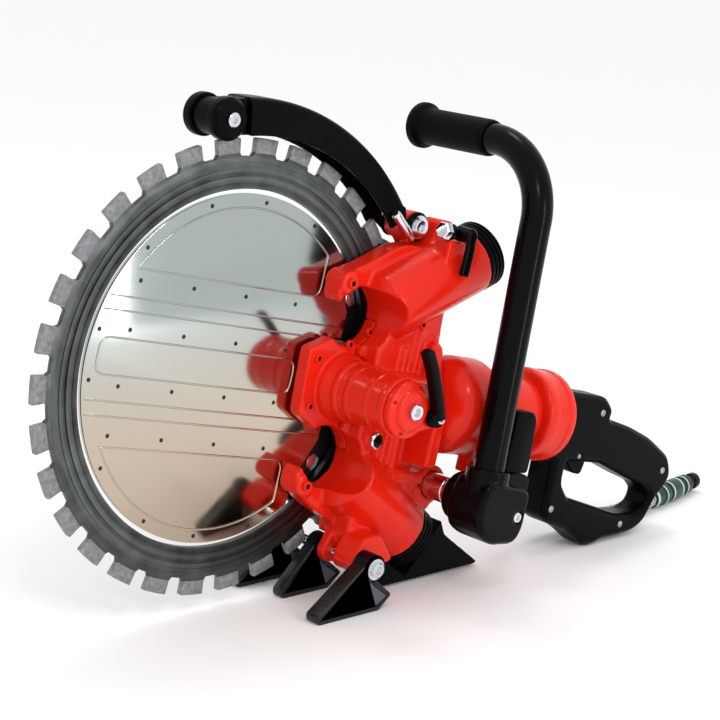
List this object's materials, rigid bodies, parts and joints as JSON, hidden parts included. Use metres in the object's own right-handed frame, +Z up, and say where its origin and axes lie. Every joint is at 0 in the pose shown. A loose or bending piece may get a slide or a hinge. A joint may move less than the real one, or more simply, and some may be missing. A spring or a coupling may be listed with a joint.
{
  "type": "rescue ring saw",
  "caption": "Hand-held air-driven ring saw for rescue crews: edge-driven ring blade on guide rollers, lifting guard, cranked front handle, rear handle with trigger, hose.",
  "frame": {"origin": "middle of the saw's bounding box on the floor it stands on, measured without the free hose and its coupling", "axes": "+X from the blade back to the rear handle, +Y from the drive boss across the ring to the saw's far side, +Z up"},
  "size_m": [0.7873, 0.177, 0.3952],
  "materials": {
    "red_paint": "gloss enamel",
    "black_paint": "gloss black",
    "black_rubber": "matt",
    "black_plastic": "satin",
    "blade_steel": "dull ground steel",
    "disc_steel": "polished sheet",
    "steel": "machined",
    "chrome": "bright plated",
    "foot_grey": "satin grey",
    "label_green": "printed foil, left blank",
    "braid": "woven braid over rubber",
    "coupling_green": "anodised"
  },
  "bodies": {
    "saw": {"main_frame": "red_paint", "far_frame": "black_paint", "rear_handle": "black_plastic", "gear_housing": "red_paint", "handle_clamp": "black_paint", "foot_shaft": "chrome", "boss_cap": "red_paint", "motor_bell": "red_paint", "coupling_body": "coupling_green", "air_hose": "braid", "guard_pivot_bolt": "chrome", "handle_grip": "black_rubber", "handle_tube": "black_paint", "upper_tension_spring": "steel", "lower_tension_spring": "steel", "rear_can": "red_paint", "centre_disc": "disc_steel", "upper_roller_cartridge": "steel", "lower_roller_cartridge": "steel", "hose_inlet": "steel", "near_foot": "foot_grey", "far_foot": "foot_grey", "mid_foot": "foot_grey", "motor_neck": "red_paint", "upper_housing_cap": "black_plastic", "lower_housing_cap": "black_plastic", "boss_screw": "chrome", "inner_shaft_bearing": "steel", "outer_shaft_bearing": "steel", "clamp_barrel": "black_paint", "coupling_plug": "black_paint", "handle_stay": "black_paint", "cross_shaft": "chrome", "splash_skirt": "black_rubber", "exhaust_silencer": "black_plastic", "near_upper_axle": "steel", "far_upper_axle": "steel", "near_lower_axle": "steel", "far_lower_axle": "steel", "clamp_nut": "chrome", "trigger_pin": "steel", "rating_plate": "label_green"},
    "blade": {"ring_blade": "blade_steel"},
    "drive": {"drive_wheel": "steel", "drive_shaft": "steel", "bevel_gear": "steel"},
    "rotor": {"motor_rotor": "steel", "bevel_pinion": "steel"},
    "near_upper_guide": {"near_upper_roller": "steel"},
    "near_lower_guide": {"near_lower_roller": "steel"},
    "far_upper_guide": {"far_upper_roller": "steel"},
    "far_lower_guide": {"far_lower_roller": "steel"},
    "guard": {"guard_shell": "black_plastic", "guard_stop_pin": "chrome"},
    "guard_knob": {"guard_knob_near": "black_plastic", "guard_knob_far": "black_plastic", "guard_knob_screw": "chrome"},
    "drive_lock": {"drive_lever": "black_paint"},
    "housing_lock": {"clamp_lever": "black_paint"},
    "throttle": {"trigger": "black_plastic"}
  },
  "joints": [
    {"name": "blade_spin", "type": "hinge", "parent": "saw", "child": "blade", "pos_m": [-0.15655, 0.0335, 0.18826], "axis": [0, 1, 0], "continuous": true},
    {"name": "drive_spin", "type": "hinge", "parent": "saw", "child": "drive", "pos_m": [-0.05358, 0.0335, 0.16769], "axis": [0, 1, 0], "continuous": true},
    {"name": "rotor_spin", "type": "hinge", "parent": "saw", "child": "rotor", "pos_m": [-0.05358, -0.0115, 0.16769], "axis": [0.9806, 0, -0.1959], "continuous": true},
    {"name": "near_upper_guide_spin", "type": "hinge", "parent": "saw", "child": "near_upper_guide", "pos_m": [-0.01547, 0.00795, 0.23465], "axis": [0.95, 0, 0.3123], "continuous": true},
    {"name": "near_lower_guide_spin", "type": "hinge", "parent": "saw", "child": "near_lower_guide", "pos_m": [-0.04413, 0.00795, 0.09123], "axis": [0.757, 0, -0.6534], "continuous": true},
    {"name": "far_upper_guide_spin", "type": "hinge", "parent": "saw", "child": "far_upper_guide", "pos_m": [-0.01547, 0.05905, 0.23465], "axis": [0.95, 0, 0.3123], "continuous": true},
    {"name": "far_lower_guide_spin", "type": "hinge", "parent": "saw", "child": "far_lower_guide", "pos_m": [-0.04413, 0.05905, 0.09123], "axis": [0.757, 0, -0.6534], "continuous": true},
    {"name": "guard_lift", "type": "hinge", "parent": "saw", "child": "guard", "pos_m": [0.01778, 0.0335, 0.29008], "axis": [0, 1, 0], "range_deg": [0, 60]},
    {"name": "guard_knob_turn", "type": "hinge", "parent": "guard", "child": "guard_knob", "pos_m": [-0.18364, 0.0335, 0.37928], "axis": [0, 1, 0], "continuous": true},
    {"name": "drive_lever_turn", "type": "hinge", "parent": "saw", "child": "drive_lock", "pos_m": [-0.03063, -0.0655, 0.16004], "axis": [0, 1, 0], "range_deg": [0, 70]},
    {"name": "clamp_lever_turn", "type": "hinge", "parent": "saw", "child": "housing_lock", "pos_m": [0.0374, -0.0245, 0.28871], "axis": [0, -1, 0], "range_deg": [0, 100]},
    {"name": "trigger_pull", "type": "hinge", "parent": "saw", "child": "throttle", "pos_m": [0.19648, -0.0115, 0.08713], "axis": [0, -1, 0], "range_deg": [0, 12], "stiffness_Nm_per_rad": 0.6, "springref_deg": -8.59}
  ],
  "couplings": [
    {"joint": "drive_spin", "follows": "blade_spin", "ratio": 4.2938},
    {"joint": "rotor_spin", "follows": "blade_spin", "ratio": -8.5875},
    {"joint": "near_upper_guide_spin", "follows": "blade_spin", "ratio": -6.1875},
    {"joint": "near_lower_guide_spin", "follows": "blade_spin", "ratio": -6.1875},
    {"joint": "far_upper_guide_spin", "follows": "blade_spin", "ratio": 6.1875},
    {"joint": "far_lower_guide_spin", "follows": "blade_spin", "ratio": 6.1875}
  ]
}
